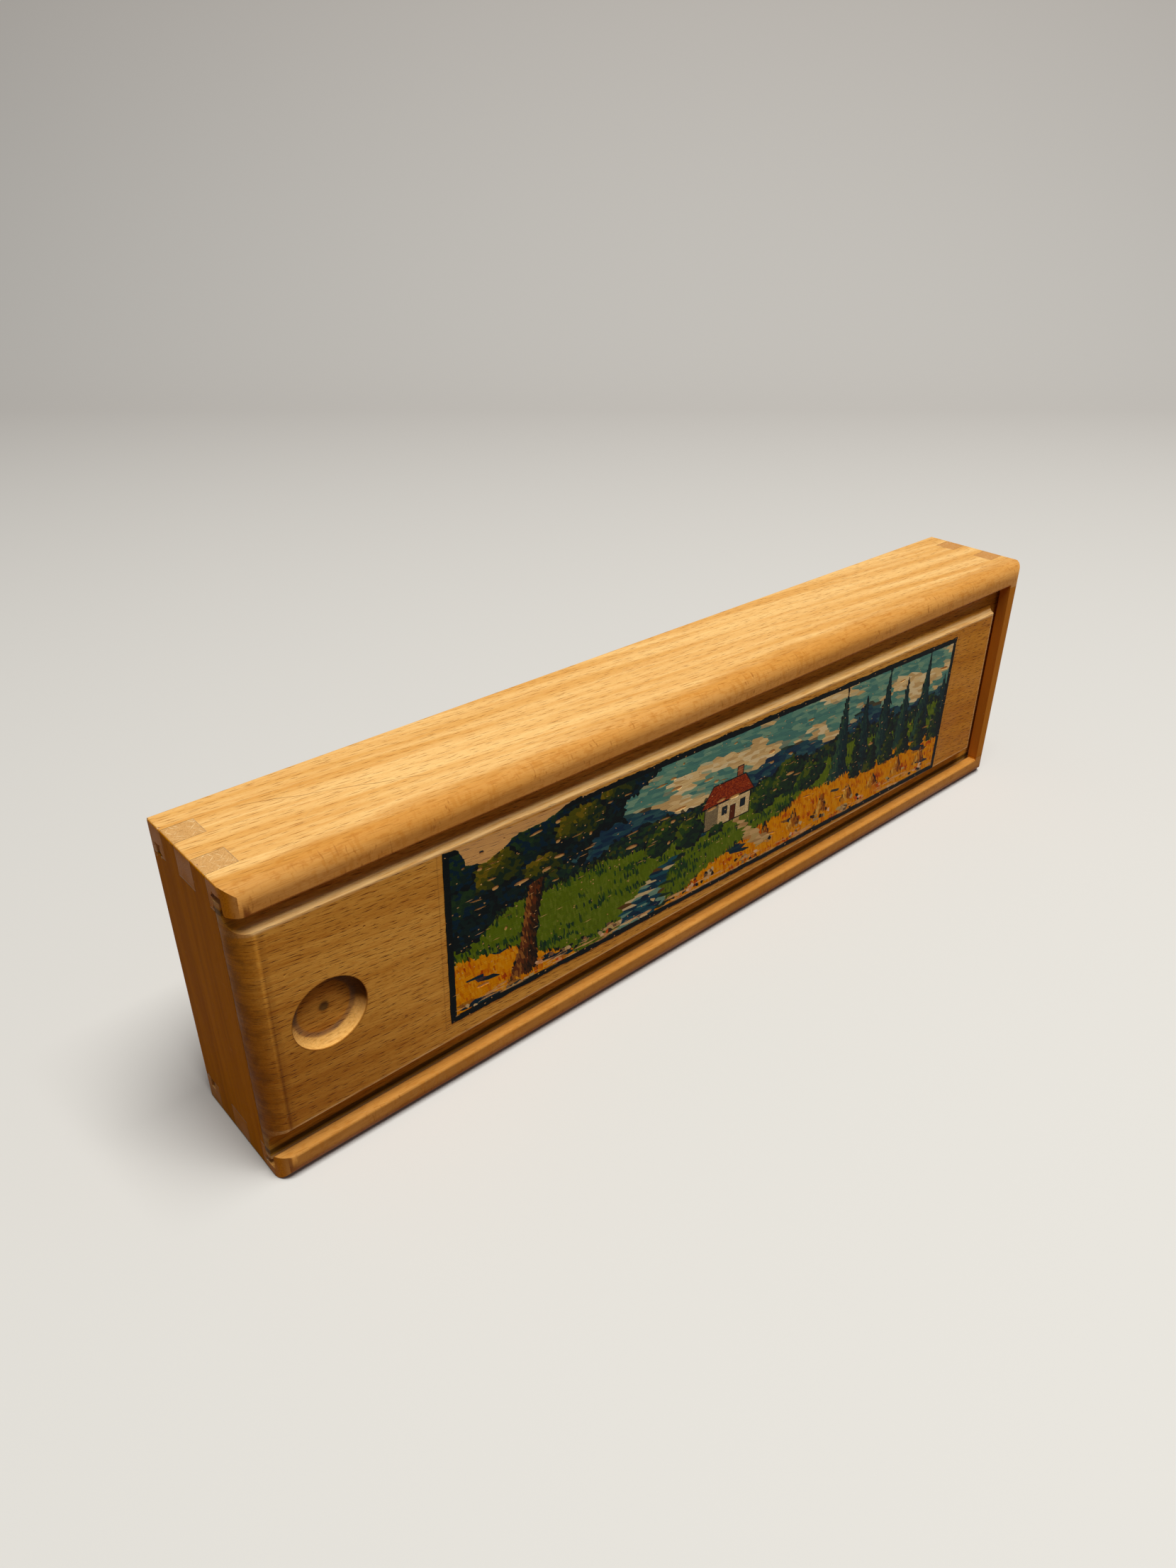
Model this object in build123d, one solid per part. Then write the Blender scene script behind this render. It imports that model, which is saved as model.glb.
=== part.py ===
from build123d import *
import os

os.makedirs("parts", exist_ok=True)

# Beech pencil case with a lid that slides out of its open end, in millimetres.
# It stands on its lower side wall as it is kept on a desk: X runs along the case
# from the open end at -X, Y runs from the lid at the front to the base panel at
# the back, and Z is up. The origin is the centre of the underside.
# Inside the functions x starts at the open end, y at the front rim and z at the
# underside, and every piece is moved to the frame above when it is written.

# Outside of the case
case_length = 220.0
case_height = 61.5
case_depth = 28.5
side_wall = 5.8
end_wall = 5.6
front_corner_radius = 3.6
front_edge_radius = 3.2
back_edge_radius = 0.6
end_edge_radius = 0.4
inner_edge_radius = 0.5

# Comb joint at the corners, measured back from the front rim
first_finger = 6.8
finger_width = 5.2
finger_gap = 5.9
finger_count = 2

# Lips of the long walls, lid tongue and the grooves that it runs in
lip_height = 5.3
lip_depth = 2.6
tongue_thickness = 1.6
tongue_front_clearance = 1.0
tongue_back_clearance = 0.2
lid_groove_depth = 3.7
tongue_side_play = 1.5
end_groove_depth = 2.8
tongue_end_play = 0.4

# Raised field of the lid
field_setback = 0.7
cove_margin = 4.6
cove_width = 3.4
ridge_radius = 0.4
lid_nose_radius = 4.0

# Thumb recess
thumb_radius = 7.0
thumb_depth = 2.3
thumb_from_end = 13.6
thumb_floor_radius = 1.7
thumb_dimple_radius = 0.8
thumb_dimple_depth = 0.35

# Printed transfer on the lid
transfer_length = 156.0
transfer_height = 37.6
transfer_film = 0.12
transfer_from_end = 37.0
transfer_tilt = 0.8
bare_patch_length = 32.0
bare_patch_height = 5.0
bare_patch_start = 4.0
bare_patch_points = ((0.1, 0.8), (0.4, 1.0), (0.7, 0.45))  # shares of the patch's length and height

# Base panel let into grooves near the back rim
base_thickness = 1.6
base_setback = 2.0
base_groove_depth = 2.0
base_groove_gap = 0.3

# Two thin dividers that part the inside
divider_thickness = 3.0
pencil_lane = 30.0
small_end_length = 52.0
divider_headroom = 1.8
divider_seat = 1.5
divider_edge_radius = 0.8

# Places worked out from the sizes above
tongue_front = lip_depth + tongue_front_clearance
lid_back = tongue_front + tongue_thickness
groove_back = lid_back + tongue_back_clearance
lid_inset = side_wall - lid_groove_depth + tongue_side_play
lid_length = case_length - end_wall + end_groove_depth - tongue_end_play
field_low = side_wall + cove_margin
field_end = case_length - end_wall - cove_margin
base_back = case_depth - base_setback
base_front = base_back - base_thickness
divider_front = lid_back + divider_headroom
divider_low = side_wall + pencil_lane
cross_start = end_wall + small_end_length

# How far a cutter runs past what it cuts, and the least flat that a rounding leaves
past = 1.0
least_flat = 0.2


def slab(x0, x1, y0, y1, z0, z1):
    """A block between two corners."""
    block = Box(x1 - x0, y1 - y0, z1 - z0, align=(Align.MIN, Align.MIN, Align.MIN))
    return Pos(x0, y0, z0) * block


def rounded_outline(width, depth, near_radius, far_radius):
    """A rectangle from its corner, with its own radius at the low and high end of its second side."""
    outline = Pos(width / 2, depth / 2) * Rectangle(width, depth)
    by_depth = outline.vertices().group_by(Axis.Y)
    outline = fillet(by_depth[0], near_radius)
    return fillet(outline.vertices().group_by(Axis.Y)[-1], far_radius)


def envelope():
    """The whole outside of the case, with the worn corners and edges that all four walls share."""
    plan = rounded_outline(case_length, case_depth, front_corner_radius, back_edge_radius)
    from_above = extrude(plan, case_height)
    section = rounded_outline(case_height, case_depth, front_edge_radius, back_edge_radius)
    side_plane = Plane(origin=(0, 0, 0), x_dir=(0, 0, 1), z_dir=(-1, 0, 0))
    from_the_end = extrude(side_plane * section, -case_length)
    face = rounded_outline(case_length, case_height, end_edge_radius, end_edge_radius)
    front_plane = Plane(origin=(0, 0, 0), x_dir=(1, 0, 0), z_dir=(0, -1, 0))
    from_the_front = extrude(front_plane * face, -case_depth)
    return from_above & from_the_end & from_the_front


def edge_rounder(radius, length):
    """What a rounding cutter takes off an edge that runs along X, with the edge itself at the origin."""
    corner = Pos(radius / 2, radius / 2) * Rectangle(radius, radius)
    corner -= Pos(radius, radius) * Circle(radius)
    plane = Plane(origin=(0, 0, 0), x_dir=(0, 1, 0), z_dir=(1, 0, 0))
    return extrude(plane * corner, length)


def finger_rows():
    """Front and back of each finger of the end walls, measured from the front rim."""
    rows = []
    for finger in range(finger_count):
        front = first_finger + finger * (finger_width + finger_gap)
        rows.append((front, front + finger_width))
    return rows


def base_recess():
    """The space that the base panel's grooves take out of all four walls."""
    reach = base_groove_depth
    return slab(end_wall - reach, case_length - end_wall + reach, base_front, base_back,
                side_wall - reach, case_height - side_wall + reach)


def lid_recess():
    """The space that the lid's groove takes out of the closed end wall."""
    inside = case_length - end_wall
    return slab(inside - past, inside + end_groove_depth, lip_depth, groove_back,
                side_wall - lid_groove_depth, case_height - side_wall + lid_groove_depth)


def lengthwise_seat():
    """The space of the lengthwise divider, its ends let into both end walls."""
    return slab(end_wall - divider_seat, case_length - end_wall + divider_seat,
                divider_front, base_front, divider_low, divider_low + divider_thickness)


def cross_seat():
    """The space of the cross divider, let into the lengthwise divider and the upper wall."""
    low = divider_low + divider_thickness - divider_seat
    return slab(cross_start, cross_start + divider_thickness, divider_front, base_front,
                low, case_height - side_wall + divider_seat)


def side_wall_blank():
    """A long wall lying at the bottom: grooved right through, notched for the combs of the end walls."""
    wall = slab(0, case_length, 0, case_depth, 0, side_wall)
    top = side_wall + past
    lid_groove = (lip_depth, groove_back, lid_groove_depth)
    base_groove = (base_front, base_back, base_groove_depth)
    for front, back, depth in (lid_groove, base_groove):
        wall -= slab(-past, case_length + past, front, back, side_wall - depth, top)
    for front, back in finger_rows():
        wall -= slab(-past, end_wall, front, back, -past, top)
        wall -= slab(case_length - end_wall, case_length + past, front, back, -past, top)
    run = case_length - end_wall
    wall -= slab(-past, run, -past, lip_depth, lip_height, top)
    front_edge = mirror(edge_rounder(inner_edge_radius, run), about=Plane.XY)
    back_edge = mirror(front_edge, about=Plane.XZ)
    return wall - Pos(0, 0, lip_height) * front_edge - Pos(0, lip_depth, lip_height) * back_edge


def lower_side_wall():
    return side_wall_blank() & envelope()


def upper_side_wall():
    wall = mirror(side_wall_blank(), about=Plane.XY.offset(case_height / 2))
    return (wall - cross_seat()) & envelope()


def combed_end(x0, front_edge):
    """An end wall between the long walls, with its fingers run out through both of them."""
    wall = slab(x0, x0 + end_wall, front_edge, case_depth, side_wall, case_height - side_wall)
    for front, back in finger_rows():
        wall += slab(x0, x0 + end_wall, front, back, 0, case_height)
    return wall - base_recess() - lengthwise_seat()


def open_end_wall():
    """Lower by the lid's thickness, so that the lid slides out over it."""
    return combed_end(0, groove_back) & envelope()


def closed_end_wall():
    """Full depth, with the groove that takes the far end of the lid."""
    inside = case_length - end_wall
    wall = combed_end(inside, 0) - lid_recess()
    rounder = Rot(0, -90, 0) * edge_rounder(inner_edge_radius, case_height - 2 * side_wall)
    return (wall - Pos(inside, 0, side_wall) * rounder) & envelope()


def base_panel():
    reach = base_groove_depth - base_groove_gap
    return slab(end_wall - reach, case_length - end_wall + reach, base_front, base_back,
                side_wall - reach, case_height - side_wall + reach)


def softened_front(divider, run):
    """Round the two front edges of a divider that run along the given axis."""
    edges = divider.edges().filter_by(run).group_by(Axis.Y)[0]
    return fillet(edges, min(divider_edge_radius, divider_thickness / 2 - least_flat))


def lengthwise_divider():
    return softened_front(lengthwise_seat(), Axis.X) - cross_seat()


def cross_divider():
    return softened_front(cross_seat(), Axis.Z)


def cove_cutter(length):
    """What the cove cutter takes off beside the field, along X, with the field's edge at the origin."""
    drop = tongue_front - field_setback
    reach = cove_margin + side_wall
    ridge = TangentArc((-ridge_radius, 0), (0, ridge_radius), tangent=(1, 0))
    cove = TangentArc((cove_width, drop), (0, ridge_radius), tangent=(-1, 0))
    outside = Polyline((cove_width, drop), (reach, drop), (reach, -past))
    over_the_field = Polyline((reach, -past), (-ridge_radius, -past), (-ridge_radius, 0))
    profile = make_face(Curve() + [ridge, cove, outside, over_the_field])
    plane = Plane(origin=(0, 0, 0), x_dir=(0, 0, -1), z_dir=(1, 0, 0))
    return extrude(plane * profile, length)


def thumb_cutter():
    """A round hollow with a curved foot to its wall and the mark of the drill's point in its floor."""
    foot = thumb_depth - thumb_floor_radius
    floor_radius = thumb_radius - thumb_floor_radius
    wall = Polyline((0, -past), (thumb_radius, -past), (thumb_radius, foot))
    curve = CenterArc((floor_radius, foot), thumb_floor_radius, 0, 90)
    floor = Polyline((floor_radius, thumb_depth), (thumb_dimple_radius, thumb_depth),
                     (0, thumb_depth + thumb_dimple_depth), (0, -past))
    profile = make_face(Curve() + [wall, curve, floor])
    return revolve(profile, Axis.Y)


def sliding_lid():
    """A board with a coved rabbet on three sides, which leaves a raised field and a thin tongue."""
    high = case_height - lid_inset
    board = slab(0, lid_length, field_setback, lid_back, lid_inset, high)
    nose = board.edges().filter_by(Axis.Z).group_by(Axis.X)[0].sort_by(Axis.Y)[0]
    board = fillet(nose, min(lid_nose_radius, lid_back - field_setback - least_flat))
    lower = Pos(-past, field_setback, field_low) * cove_cutter(lid_length + 2 * past)
    upper = mirror(lower, about=Plane.XY.offset(case_height / 2))
    across = Pos(field_end, field_setback, -past) * Rot(0, -90, 0) * cove_cutter(case_height + 2 * past)
    board = board - lower - upper - across
    return board - Pos(thumb_from_end, field_setback, case_height / 2) * thumb_cutter()


def lid_transfer():
    """The printed film on the lid, laid on a little askew, with a bare patch worn out of one corner."""
    half_length = transfer_length / 2
    half_height = transfer_height / 2
    film = Rectangle(transfer_length, transfer_height)
    left = -half_length + bare_patch_start
    worn = [(left + bare_patch_length * along, half_height - bare_patch_height * down)
            for along, down in bare_patch_points]
    patch = Spline((left, half_height + past), *worn, (left + bare_patch_length, half_height + past))
    film -= make_face(Curve() + [patch, Line(patch @ 1, patch @ 0)])
    plane = Plane(origin=(transfer_from_end + half_length, field_setback, case_height / 2),
                  x_dir=(1, 0, 0), z_dir=(0, -1, 0))
    return extrude(plane * (Rot(0, 0, -transfer_tilt) * film), transfer_film)


pieces = {
    "upper_side_wall": upper_side_wall(),
    "lower_side_wall": lower_side_wall(),
    "open_end_wall": open_end_wall(),
    "closed_end_wall": closed_end_wall(),
    "base_panel": base_panel(),
    "lengthwise_divider": lengthwise_divider(),
    "cross_divider": cross_divider(),
    "sliding_lid": sliding_lid(),
    "lid_transfer": lid_transfer(),
}

to_row_frame = Pos(-case_length / 2, -case_depth / 2, 0)
for name, piece in pieces.items():
    placed = to_row_frame * piece
    placed.label = name
    export_step(placed, f"parts/{name}.step")
    box = placed.bounding_box()
    print(name, "solids", len(placed.solids()), "volume", round(placed.volume, 2), "size", box.size)
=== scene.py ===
import bpy
import bmesh
import math
from mathutils import Matrix, Vector


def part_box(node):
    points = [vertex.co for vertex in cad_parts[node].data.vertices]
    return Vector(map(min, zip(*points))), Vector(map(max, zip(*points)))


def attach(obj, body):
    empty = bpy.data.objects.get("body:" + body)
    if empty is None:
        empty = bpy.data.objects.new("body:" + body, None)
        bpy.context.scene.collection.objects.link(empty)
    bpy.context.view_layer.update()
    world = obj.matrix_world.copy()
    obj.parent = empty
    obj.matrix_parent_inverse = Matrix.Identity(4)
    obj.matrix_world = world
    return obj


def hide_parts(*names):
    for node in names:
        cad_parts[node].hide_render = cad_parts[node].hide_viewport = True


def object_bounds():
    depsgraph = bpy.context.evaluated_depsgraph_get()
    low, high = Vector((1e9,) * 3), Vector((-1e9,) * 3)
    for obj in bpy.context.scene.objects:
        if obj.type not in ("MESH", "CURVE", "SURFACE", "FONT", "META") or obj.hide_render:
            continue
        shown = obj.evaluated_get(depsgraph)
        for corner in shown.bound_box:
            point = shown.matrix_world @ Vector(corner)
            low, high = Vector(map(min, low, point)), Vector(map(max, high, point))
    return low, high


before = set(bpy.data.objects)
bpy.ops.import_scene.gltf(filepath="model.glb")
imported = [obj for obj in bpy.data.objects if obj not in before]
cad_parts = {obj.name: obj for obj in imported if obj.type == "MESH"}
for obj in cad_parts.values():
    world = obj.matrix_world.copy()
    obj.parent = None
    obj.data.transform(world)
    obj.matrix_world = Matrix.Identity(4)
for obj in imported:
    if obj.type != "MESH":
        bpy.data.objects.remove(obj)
cad_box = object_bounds()


# Side walls: two long beech boards, uppermost and lowermost as the case stands on its side.
# Each is planed, grooved right through for the lid and the base panel, notched at its ends
# for the combs, rounded over by hand along the front and varnished honey-coloured.

MM = 0.001
case_low, case_high = (Vector(corner) / MM for corner in cad_box)
middle = (case_low.z + case_high.z) / 2
side_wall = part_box("lower_side_wall")[1][2] / MM
end_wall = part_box("open_end_wall")[1][0] / MM - case_low.x
base_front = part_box("base_panel")[0][1] / MM
base_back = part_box("base_panel")[1][1] / MM
base_groove_depth = 2.0
lid_groove_depth = 3.7
lid_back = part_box("sliding_lid")[1][1] / MM
crisp_turn = math.radians(40)


def joined_copy(node, name):
    """A piece's own mesh with its loose triangles joined, to be worn and finished."""
    shape = bmesh.new()
    shape.from_mesh(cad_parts[node].data)
    bmesh.ops.remove_doubles(shape, verts=shape.verts, dist=0.001 * MM)
    mesh = bpy.data.meshes.new(name)
    shape.to_mesh(mesh)
    shape.free()
    mesh.materials.clear()
    piece = bpy.data.objects.new(name, mesh)
    bpy.context.scene.collection.objects.link(piece)
    return piece


def settled(piece):
    """Turn a piece's modifiers into its plain mesh."""
    graph = bpy.context.evaluated_depsgraph_get()
    mesh = bpy.data.meshes.new_from_object(piece.evaluated_get(graph))
    piece.modifiers.clear()
    piece.data = mesh
    return piece


def evenly_shaded(piece):
    """Smooth over gentle turns and crisp over sharp ones, with flat faces kept flat beside a rounding."""
    mesh = piece.data
    around = [[] for vertex in mesh.vertices]
    for face in mesh.polygons:
        for vertex in face.vertices:
            around[vertex].append(face)
    normals = []
    for face in mesh.polygons:
        for vertex in face.vertices:
            gentle = [other for other in around[vertex]
                      if other.normal.dot(face.normal) > math.cos(crisp_turn)]
            normals.append(sum((other.normal * other.area for other in gentle), Vector()).normalized())
    mesh.shade_smooth()
    mesh.normals_split_custom_set(normals)
    return piece


class Reading:
    """A number that a tree works out at each place. It adds up like any other number."""

    def __init__(self, socket):
        self.socket = socket

    def __add__(self, other):
        return sums("ADD", self, other)

    def __sub__(self, other):
        return sums("SUBTRACT", self, other)

    def __rsub__(self, other):
        return sums("SUBTRACT", other, self)

    def __mul__(self, other):
        return sums("MULTIPLY", self, other)

    def __truediv__(self, other):
        return sums("DIVIDE", self, other)

    def __abs__(self):
        return sums("ABSOLUTE", self)


def socket_of(value):
    return value.socket if isinstance(value, Reading) else value


def tree_of(*values):
    """The tree that the readings and sockets among some values belong to."""
    sockets = [socket_of(value) for value in values]
    return next(socket.id_data for socket in sockets if isinstance(socket, bpy.types.NodeSocket))


def add(tree, kind, inputs=None, **settings):
    """Put a node on a tree. A reading or socket among the inputs is linked, any other value is set."""
    prefix = "" if kind.startswith(("Geometry", "Function")) else "ShaderNode"
    made = tree.nodes.new(prefix + kind)
    for key, value in settings.items():
        setattr(made, key, value)
    for name, value in (inputs or {}).items():
        value = socket_of(value)
        if isinstance(value, bpy.types.NodeSocket):
            tree.links.new(value, made.inputs[name])
        else:
            made.inputs[name].default_value = value
    return made


def sums(operation, *values):
    return Reading(add(tree_of(*values), "Math", dict(enumerate(values)), operation=operation).outputs[0])


def vectors(operation, *values):
    made = add(tree_of(*values), "VectorMath", dict(enumerate(values)), operation=operation)
    if operation in ("DOT_PRODUCT", "LENGTH", "DISTANCE"):
        return Reading(made.outputs["Value"])
    return made.outputs["Vector"]


def joint_vector(*parts):
    return add(tree_of(*parts), "CombineXYZ", dict(enumerate(parts))).outputs[0]


def parts_of(vector, kind="SeparateXYZ"):
    """The three numbers that a vector or a colour holds."""
    return [Reading(part) for part in add(tree_of(vector), kind, {0: vector}).outputs]


def new_tree(name, sizes):
    """A Geometry Nodes tree with a shape in, a shape out and named sizes. Returns it and its inputs."""
    tree = bpy.data.node_groups.new(name, "GeometryNodeTree")
    tree.interface.new_socket("Shape", in_out="INPUT", socket_type="NodeSocketGeometry")
    for label, kind in sizes.items():
        tree.interface.new_socket(label, in_out="INPUT", socket_type="NodeSocket" + kind)
    tree.interface.new_socket("Shape", in_out="OUTPUT", socket_type="NodeSocketGeometry")
    return tree, tree.nodes.new("NodeGroupInput").outputs


def scattered(tree, spots, shape, turn, size):
    """A shape set on each of a tree's points, with its own turn and size."""
    inputs = {"Points": spots, "Instance": shape, "Rotation": turn, "Scale": size}
    copies = add(tree, "GeometryNodeInstanceOnPoints", inputs)
    return add(tree, "GeometryNodeRealizeInstances", {0: copies.outputs[0]}).outputs[0]


def shifted(tree, shape, offset):
    return add(tree, "GeometryNodeSetPosition", {"Geometry": shape, "Offset": offset}).outputs[0]


def random_vector(tree, low, high, seed):
    inputs = {0: low, 1: high, "Seed": seed}
    return add(tree, "FunctionNodeRandomValue", inputs, data_type="FLOAT_VECTOR").outputs[0]


def jitter(tree, changes, detail):
    """A random shift from -0.5 to 0.5 along each axis, with so many changes in a millimetre."""
    noise = add(tree, "TexNoise", {"Scale": changes / MM, "Detail": detail})
    return vectors("SUBTRACT", noise.outputs["Color"], (0.5, 0.5, 0.5))


def scaled_vector(vector, factor):
    inputs = {0: vector, "Scale": factor}
    return add(tree_of(factor), "VectorMath", inputs, operation="SCALE").outputs[0]


def made_of(tree, shape, material):
    """End a tree with its shape in a material."""
    shape = add(tree, "GeometryNodeSetMaterial", {"Geometry": shape, "Material": material})
    tree.links.new(shape.outputs[0], tree.nodes.new("NodeGroupOutput").inputs[0])


def grown(tree, mesh, name, sizes):
    """Run a tree on a mesh with the given sizes and keep what it makes as a plain mesh."""
    piece = bpy.data.objects.new(name, mesh)
    bpy.context.scene.collection.objects.link(piece)
    growth = piece.modifiers.new(tree.name, "NODES")
    growth.node_group = tree
    for item in tree.interface.items_tree:
        if item.in_out == "INPUT" and item.name in sizes:
            growth[item.identifier] = sizes[item.name]
    return settled(piece)


nick_tree, given = new_tree("edge_nicks", {"Spacing": "Float", "Smallest": "Float", "Largest": "Float",
                                           "Seed": "Int", "Raw wood": "Material"})
line = add(nick_tree, "GeometryNodeMeshToCurve", {"Mesh": given["Shape"]})
spots = add(nick_tree, "GeometryNodeCurveToPoints", {0: line.outputs[0], "Length": given["Spacing"]},
            mode="LENGTH")
strayed = random_vector(nick_tree, scaled_vector((-1, -1, -1), given["Largest"]),
                        scaled_vector((1, 1, 1), given["Largest"]), given["Seed"])
spots = shifted(nick_tree, spots.outputs["Points"], strayed)
stone = add(nick_tree, "GeometryNodeMeshIcoSphere", {"Radius": 1.0, "Subdivisions": 2})
turn = random_vector(nick_tree, (0, 0, 0), (math.tau, math.tau, math.tau), given["Seed"])
smallest, largest = (joint_vector(edge, edge, edge) for edge in (given["Smallest"], given["Largest"]))
size = random_vector(nick_tree, smallest, largest, given["Seed"])
stones = scattered(nick_tree, spots, stone.outputs[0], turn, size)
rough = scaled_vector(jitter(nick_tree, 1.6, 2.0), given["Largest"])
made_of(nick_tree, shifted(nick_tree, stones, rough), given["Raw wood"])


def edge_runs(name, runs):
    """A mesh of bare edges, each between two places given in millimetres."""
    mesh = bpy.data.meshes.new(name)
    ends = [Vector(end) * MM for run in runs for end in run]
    mesh.from_pydata(ends, [(2 * run, 2 * run + 1) for run in range(len(runs))], [])
    return mesh


def start_finish(name):
    material = bpy.data.materials.new(name)
    material.use_nodes = True
    material.node_tree.nodes.clear()
    return material, material.node_tree


def paint(red, green, blue):
    """A colour given as it looks on a screen, from 0 to 255, for a shader's colour socket."""
    shades = []
    for shade in (red / 255, green / 255, blue / 255):
        shades.append(shade / 12.92 if shade < 0.04045 else ((shade + 0.055) / 1.055) ** 2.4)
    return (*shades, 1.0)


def measured(tree, way):
    """How far a place on the piece lies along a direction, in millimetres."""
    place = add(tree, "TexCoord").outputs["Object"]
    return vectors("DOT_PRODUCT", place, Vector(way).normalized() / MM)


def place_on(tree):
    """A place's x, y and z on the piece, in millimetres, and the three as one vector."""
    x, y, z = (measured(tree, way) for way in ((1, 0, 0), (0, 1, 0), (0, 0, 1)))
    return x, y, z, joint_vector(x, y, z)


def facing(tree, way):
    """How squarely the surface faces a direction, from -1 to 1."""
    return vectors("DOT_PRODUCT", add(tree, "TexCoord").outputs["Normal"], way)


def between(value, low, high, to_low=0.0, to_high=1.0):
    """Goes softly from to_low to to_high while the value goes from low to high."""
    inputs = {"Value": value, "From Min": low, "From Max": high, "To Min": to_low, "To Max": to_high}
    return Reading(add(tree_of(value), "MapRange", inputs, interpolation_type="SMOOTHSTEP").outputs[0])


def close_to(value, centre, reach, fade):
    """1 within reach of a place, going down to 0 a little further off."""
    return between(abs(value - centre), reach, reach + fade, 1.0, 0.0)


def both(*shares):
    """All of the given shares together."""
    product = shares[0]
    for share in shares[1:]:
        product = product * share
    return product


def either(*shares):
    """The largest of the given shares."""
    most = shares[0]
    for share in shares[1:]:
        most = sums("MAXIMUM", most, share)
    return most


def tinted(under, over, *shares, way="MIX"):
    """A colour with another one laid over it, as strongly as all of the shares together say."""
    inputs = {0: both(*shares), 6: under, 7: over}
    return add(tree_of(shares[0]), "Mix", inputs, data_type="RGBA", blend_type=way).outputs[2]


def clouded(spot, cell, detail=2.0, roughness=0.5):
    """Soft noise from 0 to 1, with lumps about as large as the cell, in millimetres."""
    spread = vectors("DIVIDE", spot, cell)
    inputs = {"Vector": spread, "Scale": 1.0, "Detail": detail, "Roughness": roughness}
    return Reading(add(tree_of(spot), "TexNoise", inputs).outputs["Fac"])


def dashes(flat, cell, size, share):
    """Pointed dashes scattered over a face, one at most in each cell, up to size to each side of its middle.

    Returns where they are and a lot for each.
    """
    spread = vectors("DIVIDE", flat, cell)
    seed = add(tree_of(flat), "TexVoronoi", {"Vector": spread, "Scale": 1.0, "Randomness": 0.9},
               voronoi_dimensions="2D")
    long_lot, share_lot, free_lot = parts_of(seed.outputs["Color"], "SeparateColor")
    off = vectors("MULTIPLY", vectors("SUBTRACT", spread, seed.outputs["Position"]), cell)
    off = parts_of(vectors("ABSOLUTE", vectors("DIVIDE", off, (*size, 1))))
    reached = off[0] / between(long_lot, 0.0, 1.0, 0.45, 1.0) + off[1]
    mark = between(reached, 0.55, 1.0, 1.0, 0.0)
    return mark * sums("GREATER_THAN", share_lot, 1 - share), free_lot


def turned(flat, degrees):
    inputs = {"Vector": flat, "Angle": math.radians(degrees)}
    return add(tree_of(flat), "VectorRotate", inputs, rotation_type="Z_AXIS").outputs[0]


def scratches(flat, turn, cell, share, half_width=0.05):
    """Fine straight scratches that lie one way across a face, some deeper than others."""
    marks, lot = dashes(turned(flat, turn), cell, (0.45 * cell[0], half_width), share)
    return marks * lot


def beech(tree, along, across, deep, tones, shift):
    """Beech as its sawn board shows it: soft bands, fine fibre and the dark ribbons of its rays.

    The rays run right through the board, so they are dashes on its face and faint lines over its
    edges. along, across and deep are the board's own directions. Returns its colour and its relief.
    """
    board = vectors("ADD", joint_vector(*(measured(tree, way) for way in (along, across, deep))), shift)
    sway = add(tree, "TexNoise", {"Vector": vectors("DIVIDE", board, (70, 18, 30)), "Scale": 1.0,
                                  "Detail": 2.0})
    sway = vectors("MULTIPLY", vectors("SUBTRACT", sway.outputs["Color"], (0.5, 0.5, 0.5)), (0, 3.0, 0))
    board = vectors("ADD", board, sway)
    bands = clouded(board, (90, 3.2, 20), 3.0, 0.55)
    streaks = clouded(board, (26, 0.7, 0.7), 3.0, 0.6)
    fibre = clouded(board, (3, 0.16, 0.16), 2.0, 0.6)
    colour = tinted(tones["light"], tones["dark"], between(bands, 0.34, 0.66))
    for name, marks, low, high in (("streak", streaks, 0.45, 0.72), ("fibre", fibre, 0.4, 0.75)):
        share = between(marks, low, high, 0.0, tones[name])
        colour = tinted(colour, tones[name + "_dark"], share, way="MULTIPLY")
    rays, depth = dashes(board, tones["ray_cell"], tones["ray_size"], tones["ray_share"])
    pores = dashes(board, (1.7, 0.45, 1), (0.6, 0.07), 0.6)[0]
    on_face = between(abs(facing(tree, deep)), 0.6, 0.93, 0.15, 1.0)
    ribbons = both(rays, between(depth, 0.0, 1.0, 0.6, 1.0), on_face)
    colour = tinted(colour, tones["ray_dark"], ribbons, tones["ray"])
    colour = tinted(colour, tones["ray_dark"], pores, on_face, tones["pore"])
    return colour, fibre * 0.35 - ribbons


def varnished(tree, colour, relief, roughness, gloss, depth):
    """The board's colour and relief under a thin rubbed varnish."""
    bump = add(tree, "Bump", {"Height": relief, "Strength": 1.0, "Distance": depth})
    shader = add(tree, "BsdfPrincipled", {"Base Color": colour, "Roughness": roughness,
                                          "Specular IOR Level": gloss, "Normal": bump.outputs[0]})
    add(tree, "OutputMaterial", {"Surface": shader.outputs[0]})


raw_tones = {"light": paint(232, 196, 150), "dark": paint(222, 182, 132), "streak": 0.3,
             "streak_dark": paint(226, 208, 186), "fibre": 0.4, "fibre_dark": paint(214, 190, 160),
             "ray_cell": (3.4, 1.0, 1), "ray_size": (1.4, 0.1), "ray_share": 0.8, "ray": 0.4, "pore": 0.2,
             "ray_dark": paint(150, 104, 62)}
raw_material, raw_tree = start_finish("raw_beech_in_chips")
colour, relief = beech(raw_tree, (1, 0, 0), (0, 1, 1), (0, 1, -1), raw_tones, (3, 5, 1))
varnished(raw_tree, colour, relief, 0.8, 0.15, 0.03 * MM)

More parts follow.
